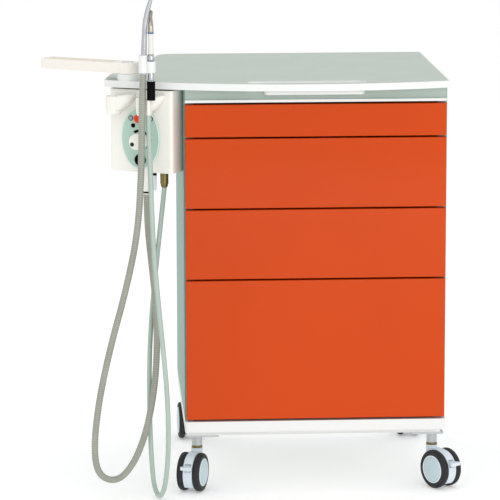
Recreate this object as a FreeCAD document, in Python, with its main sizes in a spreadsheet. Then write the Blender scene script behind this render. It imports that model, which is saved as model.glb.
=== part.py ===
import FreeCAD, Part
import math
import os
import Sketcher
from FreeCAD import Placement, Rotation, Vector

# Mobile dental cart, in millimetres: a drawer cabinet on twin-wheel casters,
# with a motor unit on its left side, a swing tray and two hose-fed instruments.
# Working axes: X right, Y away from the user, Z up. X=0, Y=0 is the front left
# corner of the drawer fronts, Z=0 is the floor. The last step moves every
# sub-part so that the middle of the footprint becomes the origin.

DIMENSIONS = {
    # cabinet
    "cabinet_width": 504, "cabinet_left": -2, "cabinet_depth": 503, "board": 18,
    "carcass_front": 20, "skirt_bottom": 127, "skirt_top": 148, "base_bottom": 111,
    "base_setback": 44, "base_side": 5, "back_thick": 12, "rail_bottom": 767, "rail_thick": 12,
    "lip_high": 5, "lip_deep": 5,
    # worktop
    "worktop_under": 793, "worktop_thick": 13, "edge_band": 2.5, "arc_radius": 830,
    "arc_middle": 244, "arc_apex": -43, "worktop_right": 505, "worktop_rear": 520,
    "worktop_left": -151, "slot_left": 122, "slot_right": 342, "slot_front": -16,
    "slot_back": 12, "slot_liner": 2,
    # drawers
    "front_width": 498.4, "front_thick": 18, "front_gap": 3.4, "pitch_small": 65.2,
    "pitch_middle": 137, "pitch_large": 274.8, "drawers_bottom": 151,
    "drawer_depth": 440, "drawer_wall": 12, "drawer_floor": 6, "runner_gap": 0.5,
    "rail_width": 6, "rail_high": 30, "slide_high": 22, "drawer_travel": 360,
    # casters
    "wheel_radius": 37.5, "wheel_width": 13, "wheel_gap": 19, "hub_radius": 26.5,
    "caster_trail": 28, "caster_plate": 61, "plate_offset": 11, "plate_thick": 4,
    "sleeve_radius": 10.2,
    "sleeve_bottom": 85, "collar_bottom": 72, "collar_top": 80, "collar_radius": 11.2,
    "stem_radius": 5.5, "axle_radius": 4, "housing_radius": 35.5, "fit_gap": 0.4,
    # motor unit
    "unit_left": 66, "unit_right": 66, "unit_deep": 115, "unit_bottom": 632,
    "unit_top": 790, "unit_wall": 3, "unit_yaw": 27.1, "unit_x": -82.5, "unit_y": 30,
    "panel_wide": 80.6, "panel_high": 119, "panel_thick": 3, "panel_z": 697.5,
    "knob_radius": 16.4, "knob_out": 22, "knob_z": 692.5, "button_radius": 8.2,
    "start_x": -3, "start_z": 735.5, "mode_x": -14.4, "mode_z": 721.5, "jack_z": 656,
    "cup_radius": 15.7, "cup_bore": 12.2, "cup_bottom": 744, "cup_top": 779,
    "cup_out": 20,
    # swing tray, holder and instruments
    "pivot_x": -106, "pivot_y": 58, "pivot_radius": 21, "pivot_high": 13.2,
    "tray_reach": 188, "tray_wide": 40, "tray_bottom": 819.6, "tray_high": 20.6,
    "tray_tip_high": 18.6, "tray_recess": 5, "tray_wall": 2.5, "tray_yaw": 146,
    "holder_y": -22, "cannula_x": -78.2, "cannula_lean": 2.2, "motor_x": -63.5, "ring_bottom": 828.3,
    "long_ring_top": 861.6, "short_ring_top": 850, "long_ring_radius": 8.6,
    "short_ring_radius": 9,
    # hoses
    "cannula_hose": 13.3, "motor_hose": 9.5,
}

doc = FreeCAD.newDocument("dental_cart")
sheet = doc.addObject("Spreadsheet::Sheet", "dims")
for row, (alias, number) in enumerate(DIMENSIONS.items(), start=1):
    sheet.set(f"A{row}", alias)
    sheet.set(f"B{row}", str(number))
    sheet.setAlias(f"B{row}", alias)
doc.recompute()


class Size(float):
    """A length that remembers the sheet formula it was worked out with."""

    def __new__(cls, number, formula):
        size = super().__new__(cls, number)
        size.formula = formula
        return size

    def __add__(self, other):
        return combine(self, "+", other, float(self) + float(other))

    def __radd__(self, other):
        return combine(other, "+", self, float(other) + float(self))

    def __sub__(self, other):
        return combine(self, "-", other, float(self) - float(other))

    def __rsub__(self, other):
        return combine(other, "-", self, float(other) - float(self))

    def __mul__(self, other):
        return combine(self, "*", other, float(self) * float(other))

    def __rmul__(self, other):
        return combine(other, "*", self, float(other) * float(self))

    def __truediv__(self, other):
        return combine(self, "/", other, float(self) / float(other))

    def __neg__(self):
        return Size(-float(self), f"(-1 * {self.formula})")


def formula_of(number):
    return number.formula if isinstance(number, Size) else f"({float(number):.6f})"


def combine(left, sign, right, number):
    return Size(number, f"({formula_of(left)} {sign} {formula_of(right)})")


class Dims:
    """The sheet's cells, by alias."""


dims = Dims()
for alias in DIMENSIONS:
    setattr(dims, alias, Size(sheet.get(alias), f"dims.{alias}"))


def bind(item, prop, size):
    """Set a property, and tie it to the sheet where it comes from the sheet."""
    setattr(item, prop, float(size))
    if isinstance(size, Size):
        item.setExpression(prop, size.formula)


# Part primitives and booleans -------------------------------------------------

def box(length, width, height, x, y, z):
    item = doc.addObject("Part::Box", "box")
    bind(item, "Length", length)
    bind(item, "Width", width)
    bind(item, "Height", height)
    item.Placement = Placement(Vector(x, y, z), Rotation())
    return item


ALONG_X = Rotation(Vector(0, 1, 0), 90)
ALONG_Y = Rotation(Vector(1, 0, 0), -90)
ALONG_Z = Rotation()


def cylinder(radius, height, x, y, z, axis=ALONG_Z):
    item = doc.addObject("Part::Cylinder", "cylinder")
    bind(item, "Radius", radius)
    bind(item, "Height", height)
    item.Placement = Placement(Vector(x, y, z), axis)
    return item


def cut(base, tool):
    item = doc.addObject("Part::Cut", "cut")
    item.Base = base
    item.Tool = tool
    return item


def fuse(*shapes):
    item = doc.addObject("Part::MultiFuse", "fuse")
    item.Shapes = list(shapes)
    return item


def group(*shapes):
    item = doc.addObject("Part::Compound", "group")
    item.Links = list(shapes)
    return item


def rounded(base, radius, wanted):
    """Round the edges of a shape that a test picks out."""
    doc.recompute()
    item = doc.addObject("Part::Fillet", "rounded")
    item.Base = base
    picked = [number for number, edge in enumerate(base.Shape.Edges, start=1) if wanted(edge)]
    item.Edges = [(number, float(radius), float(radius)) for number in picked]
    return item


def upright(edge):
    """Whether an edge runs along Z."""
    low, high = edge.Vertexes[0].Point, edge.Vertexes[-1].Point
    return abs(low.x - high.x) + abs(low.y - high.y) < 1e-6 < abs(low.z - high.z)


# PartDesign helpers -----------------------------------------------------------

ORIGIN = -1
HORIZONTAL_AXIS = -1
VERTICAL_AXIS = -2


def body_with_sketch(label, plane):
    body = doc.addObject("PartDesign::Body", label)
    sketch = body.newObject("Sketcher::SketchObject", label + "_sketch")
    features = body.Origin.OriginFeatures
    sketch.AttachmentSupport = [next(f for f in features if f.Role == plane)]
    sketch.MapMode = "FlatFace"
    return body, sketch


def pin_point(sketch, line, end, axis_constraint, on_axis, size):
    """Hold one coordinate of a corner at its size, or on the axis where it is nil."""
    if abs(float(size)) < 1e-9:
        sketch.addConstraint(Sketcher.Constraint("PointOnObject", line, end, on_axis))
        return
    number = sketch.addConstraint(
        Sketcher.Constraint(axis_constraint, ORIGIN, 1, line, end, float(size)))
    if isinstance(size, Size):
        sketch.setExpression(f"Constraints[{number}]", size.formula)


def closed_outline(sketch, corners):
    """A closed run of straight lines through corners, each held by its sizes."""
    count = len(corners)
    for index, (x, y) in enumerate(corners):
        next_x, next_y = corners[(index + 1) % count]
        start, end = Vector(float(x), float(y), 0), Vector(float(next_x), float(next_y), 0)
        sketch.addGeometry(Part.LineSegment(start, end), False)
    for index in range(count):
        sketch.addConstraint(
            Sketcher.Constraint("Coincident", index, 2, (index + 1) % count, 1))
    for index, (x, y) in enumerate(corners):
        pin_point(sketch, index, 1, "DistanceX", VERTICAL_AXIS, x)
        pin_point(sketch, index, 1, "DistanceY", HORIZONTAL_AXIS, y)


def padded(label, plane, corners, length):
    """A body padded from one straight-sided outline."""
    body, sketch = body_with_sketch(label, plane)
    closed_outline(sketch, corners)
    pad = body.newObject("PartDesign::Pad", label + "_pad")
    pad.Profile = sketch
    bind(pad, "Length", length)
    return body


def turned(label, corners):
    """A body turned about Z from a half profile given as radius and height."""
    body, sketch = body_with_sketch(label, "XZ_Plane")
    closed_outline(sketch, corners)
    turn = body.newObject("PartDesign::Revolution", label + "_turn")
    turn.Profile = sketch
    turn.ReferenceAxis = (sketch, ["V_Axis"])
    turn.Angle = 360
    return body


def moved(item, x, y, z, axis=ALONG_Z):
    item.Placement = Placement(Vector(x, y, z), axis)
    return item


# Sub-parts --------------------------------------------------------------------

nodes = {}
UNIT = Placement(Vector(dims.unit_x, dims.unit_y, 0), Rotation(Vector(0, 0, 1), -dims.unit_yaw))
CABINET = Placement()


def node(label, item, frame=CABINET):
    """Name a sub-part and stand it in the frame that it was drawn in."""
    item.Label = label
    item.Placement = frame * item.Placement
    nodes[label] = item


def carcass():
    left = dims.cabinet_left
    depth = dims.cabinet_depth - dims.carcass_front
    height = dims.worktop_under - dims.skirt_top
    screws = [
        cylinder(2.1, 13, -3, screw_y, screw_z, ALONG_X)
        for screw_y in (70, 105) for screw_z in (670, 750)]
    left_side = box(dims.board, depth, height, left, dims.carcass_front, dims.skirt_top)
    node("side_panel_left", cut(left_side, fuse(*screws)))
    right_x = left + dims.cabinet_width - dims.board
    node("side_panel_right",
         box(dims.board, depth, height, right_x, dims.carcass_front, dims.skirt_top))
    inner = dims.cabinet_width - dims.board * 2
    node("back_panel", box(inner, dims.back_thick, height, left + dims.board,
                           dims.cabinet_depth - dims.back_thick, dims.skirt_top))
    rail_high = dims.worktop_under - dims.rail_bottom
    rail_y = dims.carcass_front - dims.rail_thick
    rail = box(dims.front_width, dims.rail_thick, rail_high, 0.8, rail_y, dims.rail_bottom)
    lip = box(dims.front_width, dims.lip_deep + 1, dims.lip_high, 0.8,
              rail_y - dims.lip_deep, dims.rail_bottom)
    node("top_rail", fuse(rail, lip))


def base_plinth():
    left = dims.cabinet_left
    front = 2
    deep = dims.cabinet_depth - front
    skirt = rounded(box(dims.cabinet_width, deep, dims.skirt_top - dims.skirt_bottom,
                        left, front, dims.skirt_bottom), 4, upright)
    hollow = box(dims.cabinet_width - dims.board * 2, deep - dims.board * 2, 30,
                 left + dims.board, front + dims.board, dims.skirt_bottom - 1)
    board = box(dims.cabinet_width - dims.base_side * 2, deep - dims.base_setback - dims.base_side,
                dims.skirt_bottom - dims.base_bottom + 3,
                left + dims.base_side, front + dims.base_setback, dims.base_bottom)
    collar = box(dims.cabinet_width - 8, deep - 8, 3, left + 4, front + 4, dims.skirt_bottom)
    node("base_plinth", fuse(cut(skirt, hollow), board, collar))


def worktop_outline(name, inset):
    """The worktop's edge: a front arc, two bent sides and a rounded rear corner."""
    centre_y = dims.arc_apex + dims.arc_radius
    radius = float(dims.arc_radius - inset)

    def arc_point(x):
        return Vector(x, centre_y - math.sqrt(radius ** 2 - (x - dims.arc_middle) ** 2), 0)

    wing_front = arc_point(dims.worktop_left + inset)
    right_front = arc_point(dims.worktop_right - inset)
    apex = Vector(dims.arc_middle, dims.arc_apex + inset, 0)
    right_rear = Vector(dims.worktop_right - inset, dims.worktop_rear - inset, 0)
    knee = Vector(dims.worktop_left + 10 + inset, 150, 0)
    rear_left = Vector(dims.worktop_left + 108 + inset, dims.worktop_rear - inset - 42, 0)
    rear_bend = Vector(dims.worktop_left + 119 + inset, dims.worktop_rear - inset - 11, 0)
    rear_right = Vector(dims.worktop_left + 146 + inset, dims.worktop_rear - inset, 0)
    sketch = doc.addObject("Sketcher::SketchObject", name)
    edges = [
        Part.Arc(wing_front, apex, right_front),
        Part.LineSegment(right_front, right_rear),
        Part.LineSegment(right_rear, rear_right),
        Part.Arc(rear_right, rear_bend, rear_left),
        Part.LineSegment(rear_left, knee),
        Part.LineSegment(knee, wing_front),
    ]
    sketch.addGeometry(edges, False)
    return sketch


def slab(sketch):
    """A worktop-thick slab from a closed sketch."""
    item = doc.addObject("Part::Extrusion", "slab")
    item.Base = sketch
    item.DirMode = "Custom"
    item.Dir = Vector(0, 0, 1)
    bind(item, "LengthFwd", dims.worktop_thick)
    item.Solid = True
    return moved(item, 0, 0, dims.worktop_under)


def slot_block(grow):
    """The handle slot as a solid with round ends, grown outward by a margin."""
    length = dims.slot_right - dims.slot_left + grow * 2
    width = dims.slot_back - dims.slot_front + grow * 2
    block = box(length, width, dims.worktop_thick + 2,
                dims.slot_left - grow, dims.slot_front - grow, dims.worktop_under - 1)
    return rounded(block, 8 + grow, upright)


def worktop():
    board = slab(worktop_outline("board_outline", dims.edge_band))
    node("worktop_board", cut(board, slot_block(dims.slot_liner)))
    rim = cut(slab(worktop_outline("band_outline", 0)),
              slab(worktop_outline("band_inner", dims.edge_band)))
    liner = cut(slot_block(dims.slot_liner), slot_block(0))
    trimmed = doc.addObject("Part::MultiCommon", "trimmed_liner")
    trimmed.Shapes = [liner, slab(worktop_outline("liner_level", dims.edge_band))]
    node("worktop_edge_band", group(rim, trimmed))


def drawer_levels():
    """Bottom level and pitch of each drawer, from the top one down."""
    pitches = (dims.pitch_small, dims.pitch_middle, dims.pitch_middle, dims.pitch_large)
    level = dims.drawers_bottom + pitches[0] + pitches[1] + pitches[2] + pitches[3]
    levels = []
    for pitch in pitches:
        level = level - pitch
        levels.append((level, pitch))
    return levels


def rail_level(level, pitch):
    """Middle height of a drawer's runners."""
    return level + 30 if pitch < 100 else level + 40


def drawer_front(number, level, pitch):
    plate = box(dims.front_width, dims.front_thick, pitch - dims.front_gap,
                0.8, 0, level + dims.front_gap / 2)
    node(f"drawer_front_{number}", rounded(plate, 1.6, lambda edge: edge.CenterOfMass.y < 0.1))


def drawer_box(number, level, pitch):
    """A drawer of five boards, and the two inner slides on its sides."""
    inner_left = dims.cabinet_left + dims.board
    side_gap = dims.rail_width * 2 + dims.runner_gap
    left = inner_left + side_gap
    wide = dims.cabinet_width - dims.board * 2 - side_gap * 2
    low = level + 12
    high = pitch - 34 if pitch > 100 else pitch - 22
    wall = dims.drawer_wall
    front = dims.front_thick
    boards = [
        box(wall, dims.drawer_depth, high, left, front, low),
        box(wall, dims.drawer_depth, high, left + wide - wall, front, low),
        box(wide - wall * 2, wall, high, left + wall, front, low),
        box(wide - wall * 2, wall, high, left + wall, front + dims.drawer_depth - wall, low),
        box(wide - wall * 2, dims.drawer_depth - wall * 2, dims.drawer_floor,
            left + wall, front + wall, low),
    ]
    slide_z = rail_level(level, pitch) - dims.slide_high / 2
    for x in (left - dims.rail_width, left + wide):
        boards.append(box(dims.rail_width, dims.drawer_depth - 8, dims.slide_high,
                          x, front + 6, slide_z))
    node(f"drawer_box_{number}", group(*boards))


def drawer_rails():
    """The outer rails of the four pairs of runners, on the side panels."""
    inner_left = dims.cabinet_left + dims.board
    inner_right = dims.cabinet_left + dims.cabinet_width - dims.board
    rails = []
    for level, pitch in drawer_levels():
        rail_z = rail_level(level, pitch) - dims.rail_high / 2
        for x in (inner_left, inner_right - dims.rail_width):
            rails.append(box(dims.rail_width, dims.drawer_depth, dims.rail_high,
                             x, dims.carcass_front + 2, rail_z))
    node("drawer_rails", group(*rails))


def drawers():
    drawer_rails()
    for number, (level, pitch) in enumerate(drawer_levels(), start=1):
        drawer_front(number, level, pitch)
        drawer_box(number, level, pitch)


# Where each caster's stem stands, which way it has swung, and whether it has a brake.
CASTERS = {
    "front_left": (23, 79, -20, True),
    "front_right": (484, 76, 34, True),
    "rear_left": (23, 472, 183, False),
    "rear_right": (481, 472, 176, False),
}


def caster_frame(name):
    x, y, swing, _ = CASTERS[name]
    return Placement(Vector(x, y, 0), Rotation(Vector(0, 0, 1), swing))


def caster_mounts():
    """Top plates with their stem sleeves, one for each caster."""
    plates = []
    for x, y, _, _ in CASTERS.values():
        plate_bottom = dims.base_bottom - dims.plate_thick
        half = dims.caster_plate / 2
        inward = 1 if x < dims.cabinet_width / 2 else -1
        plate = box(dims.caster_plate, dims.caster_plate, dims.plate_thick,
                    x + dims.plate_offset * inward - half, y - half, plate_bottom)
        sleeve = cylinder(dims.sleeve_radius, plate_bottom - dims.sleeve_bottom,
                          x, y, dims.sleeve_bottom)
        bore = cylinder(dims.stem_radius + dims.fit_gap, 20, x, y, dims.sleeve_bottom - 1)
        plates.append(cut(fuse(plate, sleeve), bore))
    node("caster_mounts", group(*plates))


def caster_housing(name, braked):
    """The swivelling housing between two wheels, with its stem and axle."""
    width = dims.wheel_gap - dims.fit_gap * 2
    centre = dims.wheel_radius
    disc = cylinder(dims.housing_radius, width, width / -2, -dims.caster_trail, centre, ALONG_X)
    floor_cut = box(60, 120, 20, -30, -100, -10)
    collar = cylinder(dims.collar_radius, dims.collar_top - dims.collar_bottom + 24,
                      0, 0, dims.collar_bottom - 24)
    neck = box(width, 30, 30, width / -2, -28, 44)
    lid = box(60, 60, 30, -30, -92, dims.collar_top)
    stem = cylinder(dims.stem_radius, 17, 0, 0, dims.collar_top - 1)
    axle = cylinder(dims.axle_radius, dims.wheel_gap + dims.wheel_width * 2 - 8,
                    -(dims.wheel_gap / 2 + dims.wheel_width - 4), -dims.caster_trail,
                    centre, ALONG_X)
    trimmed = cut(cut(fuse(disc, neck), floor_cut), lid)
    parts = [trimmed, collar_clear(collar, centre), stem, axle]
    shell = fuse(*parts)
    if braked:
        tail = dims.caster_trail + dims.housing_radius
        slot = box(LEVER_WIDTH + 0.8, 14, 14.4, -(LEVER_WIDTH + 0.8) / 2, -(tail + 3), 44.2)
        pin_hole = cylinder(LEVER_PIN + 0.05, 30, -15, LEVER_PIVOT[0], LEVER_PIVOT[1], ALONG_X)
        shell = cut(shell, fuse(slot, pin_hole))
    node(f"caster_housing_{name}", shell, caster_frame(name))


def collar_clear(collar, centre):
    """The collar, cut back where the wheels turn beside it."""
    wheel_space = dims.wheel_radius + 1
    tools = []
    for side in (-1, 1):
        start = dims.wheel_gap / 2 - dims.fit_gap
        x = start if side > 0 else -(start + 20)
        tools.append(cylinder(wheel_space, 20, x, -dims.caster_trail, centre, ALONG_X))
    return cut(collar, fuse(*tools))


def caster_wheels(name):
    """Two tyred wheels on one axle, turning together."""
    bore = dims.axle_radius + dims.fit_gap / 2
    gap = dims.wheel_gap / 2
    outer = gap + dims.wheel_width
    wheels = []
    for side in (1, -1):
        label = f"wheel_{name}_{'outer' if side > 0 else 'inner'}"
        profile = [
            (bore, gap), (dims.wheel_radius - 3.5, gap), (dims.wheel_radius, gap + 3.5),
            (dims.wheel_radius, outer - 4), (dims.wheel_radius - 4, outer),
            (dims.hub_radius, outer), (dims.hub_radius - 6, outer + 1.8), (0, outer + 2.6),
            (0, outer - 3), (bore, outer - 3)]
        wheel = turned(label, profile)
        axis = ALONG_X if side > 0 else Rotation(Vector(0, 1, 0), -90)
        wheels.append(moved(wheel, 0, -dims.caster_trail, dims.wheel_radius, axis))
    node(f"caster_wheels_{name}", group(*wheels), caster_frame(name))


# The brake lever's width, and its pivot pin's radius, depth and height.
LEVER_WIDTH = 12.4
LEVER_PIN = 1.6
LEVER_PIVOT = (-59, 51.5)


def caster_brake(name):
    """The foot lever, pinned between the housing's cheeks, with a wide toe plate."""
    tail = -(dims.caster_trail + dims.housing_radius)
    root = box(LEVER_WIDTH, 12, 10, -LEVER_WIDTH / 2, tail - 4, 46.5)
    toe = rounded(box(22, 8.5, 6, -11, tail - 11, 50), 2, upright)
    width = dims.wheel_gap - dims.fit_gap * 2
    pin = cylinder(LEVER_PIN, width - 0.4, -(width - 0.4) / 2, LEVER_PIVOT[0], LEVER_PIVOT[1],
                   ALONG_X)
    node(f"caster_brake_{name}", fuse(root, toe, pin), caster_frame(name))


def casters():
    caster_mounts()
    for name, (_, _, _, braked) in CASTERS.items():
        caster_housing(name, braked)
        caster_wheels(name)
        if braked:
            caster_brake(name)


def unit_plan(inset):
    """The motor unit's plan, one wall lying along the cabinet's side."""
    yaw = math.radians(dims.unit_yaw)
    side_plane = dims.cabinet_left - 0.3 - dims.unit_x

    def on_side(y):
        return (side_plane - y * math.sin(yaw) - inset) / math.cos(yaw)

    right = dims.unit_right - inset
    meet = (side_plane - right * math.cos(yaw) - inset) / math.sin(yaw)
    return [(-dims.unit_left + inset, inset), (right, inset), (right, meet),
            (on_side(float(dims.unit_deep)), dims.unit_deep),
            (-dims.unit_left + inset, dims.unit_deep)]


def unit_housing():
    high = dims.unit_top - dims.unit_bottom
    wall = dims.unit_wall
    outer = moved(padded("unit_outer", "XY_Plane", unit_plan(0), high), 0, 0, dims.unit_bottom)
    inner = moved(padded("unit_inner", "XY_Plane", unit_plan(wall), high - wall * 2),
                  0, 0, dims.unit_bottom + wall)
    shell = cut(rounded(outer, 6, lambda edge: upright(edge) and edge.CenterOfMass.y < 1), inner)
    holes = [
        cylinder(4.6, wall + 2, 1.6, 20, dims.unit_bottom - 1),
        cylinder(4.6, wall + 2, 31.9, 35.4, dims.unit_bottom - 1),
        cylinder(3.6, wall + 2, 14.5, 28, dims.unit_bottom - 1),
        cylinder(6, wall + 2, 0, -1, dims.knob_z, ALONG_Y),
        cylinder(9, wall + 2, 0, -1, dims.jack_z, ALONG_Y),
        cylinder(3, wall + 2, dims.start_x, -1, dims.start_z, ALONG_Y),
        cylinder(2.4, wall + 2, dims.mode_x, -1, dims.mode_z, ALONG_Y),
    ]
    holes += [unit_screw(2.2, 8, -1.9) for unit_screw in unit_screw_makers()]
    node("unit_housing", cut(shell, fuse(*holes)), UNIT)
    cover = box(95, wall, high, -dims.unit_left, dims.unit_deep + 0.05, dims.unit_bottom)
    node("unit_back_cover", cover, UNIT)


def unit_screw_makers():
    """One maker per screw through the unit's slanted wall, in the unit's frame."""
    to_unit = UNIT.inverse()

    def maker(y, z):
        def make(radius, length, start):
            place = to_unit * Placement(Vector(start, y, z), Rotation(Vector(0, 1, 0), -90))
            item = cylinder(radius, length, 0, 0, 0)
            item.Placement = place
            return item
        return make
    return [maker(y, z) for y in (70, 105) for z in (670, 750)]


def unit_screws():
    """Four pan-head screws that hold the unit to the cabinet's side."""
    screws = []
    for make in unit_screw_makers():
        shank = make(2, 14.5, 8)
        head = make(4, 2.4, -5.4)
        screws.append(fuse(shank, head))
    node("unit_mount_screws", group(*screws), UNIT)


def elliptic_plate(width, height, thick):
    """An upright elliptical plate facing -Y, its back face at Y=0."""
    ellipse = doc.addObject("Part::Ellipse", "ellipse")
    bind(ellipse, "MajorRadius", height / 2)
    bind(ellipse, "MinorRadius", width / 2)
    plate = doc.addObject("Part::Extrusion", "plate")
    plate.Base = ellipse
    plate.DirMode = "Custom"
    plate.Dir = Vector(0, 0, 1)
    bind(plate, "LengthFwd", thick)
    plate.Solid = True
    return plate


def control_panel():
    plate = elliptic_plate(dims.panel_wide, dims.panel_high, dims.panel_thick)
    facing = Rotation(Vector(1, 0, 0), 90) * Rotation(Vector(0, 0, 1), 90)
    plate = rounded(moved(plate, 0, 0, dims.panel_z, facing), 1.4,
                    lambda edge: edge.CenterOfMass.y < -1)
    through = dims.panel_thick + 2
    start = -(dims.panel_thick + 1)
    holes = [
        cylinder(6, through, 0, start, dims.knob_z, ALONG_Y),
        cylinder(9, through, 0, start, dims.jack_z, ALONG_Y),
        cylinder(dims.button_radius + 0.4, through, dims.start_x, start, dims.start_z, ALONG_Y),
        cylinder(4.3, through, dims.mode_x, start, dims.mode_z, ALONG_Y),
    ]
    lens_holes = [cylinder(3.6, 2, x, start, z, ALONG_Y) for x, z in LENSES]
    node("control_panel", cut(plate, fuse(*holes, *lens_holes)), UNIT)


LENSES = ((-19.4, 735.5), (22, 735.5), (22, 695))


def indicator_lenses():
    """Three domed lenses let 1 mm into the panel's face."""
    lenses = []
    for number, (x, z) in enumerate(LENSES):
        profile = [(0, 0), (3.4, 0), (3.4, 1.6), (2.2, 2.5), (0, 2.8)]
        lens = turned(f"lens_{number}", profile)
        lenses.append(moved(lens, x, -(dims.panel_thick - 1), z, Rotation(Vector(1, 0, 0), 90)))
    node("indicator_lenses", group(*lenses), UNIT)


FACING = Rotation(Vector(1, 0, 0), 90)


def speed_knob():
    """A shallow turned knob on its spindle, with a pointer dot let into its face."""
    skirt = dims.knob_radius
    out = dims.knob_out
    base = dims.panel_thick + 0.4
    profile = [(0, -2), (5, -2), (5, base), (skirt, base), (skirt, base + 3),
               (skirt - 1, out - 1.2), (skirt - 2.2, out), (0, out)]
    knob = moved(turned("knob_turned", profile), 0, 0, dims.knob_z, FACING)
    dot_x, dot_z = -8.1, -5
    recess = cylinder(4.1, 3, dot_x, -out - 1, dims.knob_z + dot_z, ALONG_Y)
    node("speed_knob", cut(knob, recess), UNIT)
    dot = cylinder(4, 2, dot_x, -out - 0.3, dims.knob_z + dot_z, ALONG_Y)
    node("knob_pointer", dot, UNIT)


def push_button(label, radius, stem, x, z, out):
    """A round cap on a stem that travels into the panel."""
    base = 2
    profile = [(0, -4), (stem, -4), (stem, base), (radius, base), (radius, out - 1.5),
               (radius - 1.5, out), (0, out + 0.4)]
    button = moved(turned(label + "_turned", profile), x, 0, z, FACING)
    node(label, button, UNIT)


def unit_front():
    control_panel()
    indicator_lenses()
    speed_knob()
    push_button("start_button", dims.button_radius, 2.6, dims.start_x, dims.start_z, 9)
    push_button("mode_button", 4, 2, dims.mode_x, dims.mode_z, 6.5)
    profile = [(6.5, -8), (8.6, -8), (8.6, 3.05), (11.4, 3.05), (11.4, 5.5), (10, 7.5),
               (6.5, 7.5)]
    ring = moved(turned("jack_turned", profile), 0, 0, dims.jack_z, FACING)
    plug = cylinder(6.4, 13, 0, -5, dims.jack_z, ALONG_Y)
    node("motor_jack", group(ring, plug), UNIT)


def cradle(label, cup_x, arm_x):
    """An open cup on a sweeping arm that springs from the unit's face."""
    z = dims.cup_bottom
    high = dims.cup_top - dims.cup_bottom
    out = dims.cup_out
    radius = dims.cup_radius
    taper = 2.6
    profile = [(0, 0), (radius - taper, 0), (radius, 9), (radius, high), (0, high)]
    cup = moved(turned(label + "_cup", profile), cup_x, -out, z)
    arm_corners = [
        (cup_x + 4, z + 5), (cup_x + 16, z + 3), (arm_x - 8, z + 16), (arm_x, z + 30),
        (arm_x, z + high + 3), (arm_x - 14, z + high + 2), (cup_x + 4, z + high)]
    arm = moved(padded(label + "_arm", "XZ_Plane", arm_corners, out + 5), 0, -0.1, 0)
    bore = cylinder(dims.cup_bore, high + 12, cup_x, -out, z - 2)
    node(label, cut(fuse(cup, arm), bore), UNIT)


def cradles():
    cradle("cradle_left", -47, -9)
    cradle("cradle_right", 17, 52)


def unit_underside():
    """The hose tails and the spare port under the motor unit."""
    floor = dims.unit_bottom
    relief = turned("relief_turned", [
        (0, 9), (4.4, 9), (4.4, 0), (5.6, 0), (4.8, -30), (4.8, -43), (6.6, -43), (6.6, -45),
        (0, -45)])
    node("hose_strain_relief", moved(relief, 1.6, 20, floor), UNIT)
    fitting = turned("fitting_turned", [
        (0, 9), (4.4, 9), (4.4, 0), (8, 0), (8, -22), (7, -26), (7, -28), (5.6, -32), (0, -32)])
    node("air_fitting", moved(fitting, 31.9, 35.4, floor), UNIT)
    plug = turned("plug_turned", [
        (0, 9), (3.4, 9), (3.4, 0), (4.4, 0), (3.8, -36), (2.6, -38), (0, -38)])
    node("spare_port_plug", moved(plug, 14.5, 28, floor), UNIT)


def unit_insides():
    """What the unit holds: control board, transformer and air valve."""
    inside = float(dims.unit_wall)
    board_y = 12
    board = [
        box(84, 1.6, 110, -54, board_y, 650),
        box(14, 12, 26, -44, board_y + 1.6, 700),
        box(22, 9, 22, -16, board_y + 1.6, 690),
        box(10, 14, 40, 12, board_y + 1.6, 665)]
    board += [cylinder(2.5, board_y - inside, x, inside, z, ALONG_Y)
              for x in (-50, 26) for z in (654, 756)]
    node("motor_control_board", group(*board), UNIT)
    floor = dims.unit_bottom + inside
    core = box(44, 34, 54, -50, 66, floor)
    coils = box(32, 46, 36, -44, 60, floor + 9)
    node("power_transformer", fuse(core, coils), UNIT)
    block = box(30, 30, 34, 4, 52, floor)
    coil = cylinder(10, 36, 19, 67, floor + 34)
    node("air_valve_block", fuse(block, coil), UNIT)


def swing_tray():
    """The tray arm: a tapering beam with two shallow recesses and a round boss."""
    reach = dims.tray_reach
    wide = dims.tray_wide
    high = dims.tray_high
    beam = padded("tray_beam", "XZ_Plane", [
        (0, 0), (reach, 0.8), (reach, dims.tray_tip_high + 0.8), (0, high)], wide)
    beam = rounded(moved(beam, 0, wide / 2, 0), 4, lambda edge: upright_end(edge, reach))
    boss = cylinder(dims.pivot_radius, high, 0, 0, 0)
    wall = dims.tray_wall
    divider = 91
    inner_wide = wide - wall * 2
    recesses = [
        box(divider - 26 - 1.2, inner_wide, 30, 26, -inner_wide / 2, high - dims.tray_recess),
        box(reach - divider - 2 - wall, inner_wide, 30, divider + 1.2, -inner_wide / 2,
            high - dims.tray_recess - 0.8),
    ]
    bore = cylinder(6, high + 4, 0, 0, -2)
    cap_seat = cylinder(12.4, 4, 0, 0, high - 1.4)
    tray = cut(cut(fuse(beam, boss), fuse(*recesses)), fuse(bore, cap_seat))
    place = Placement(Vector(dims.pivot_x, dims.pivot_y, dims.tray_bottom),
                      Rotation(Vector(0, 0, 1), dims.tray_yaw))
    node("swing_tray", tray, place)


def upright_end(edge, reach):
    """Whether an edge is an upright one at the free end of the tray."""
    return upright(edge) and edge.CenterOfMass.x > reach - 1


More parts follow.
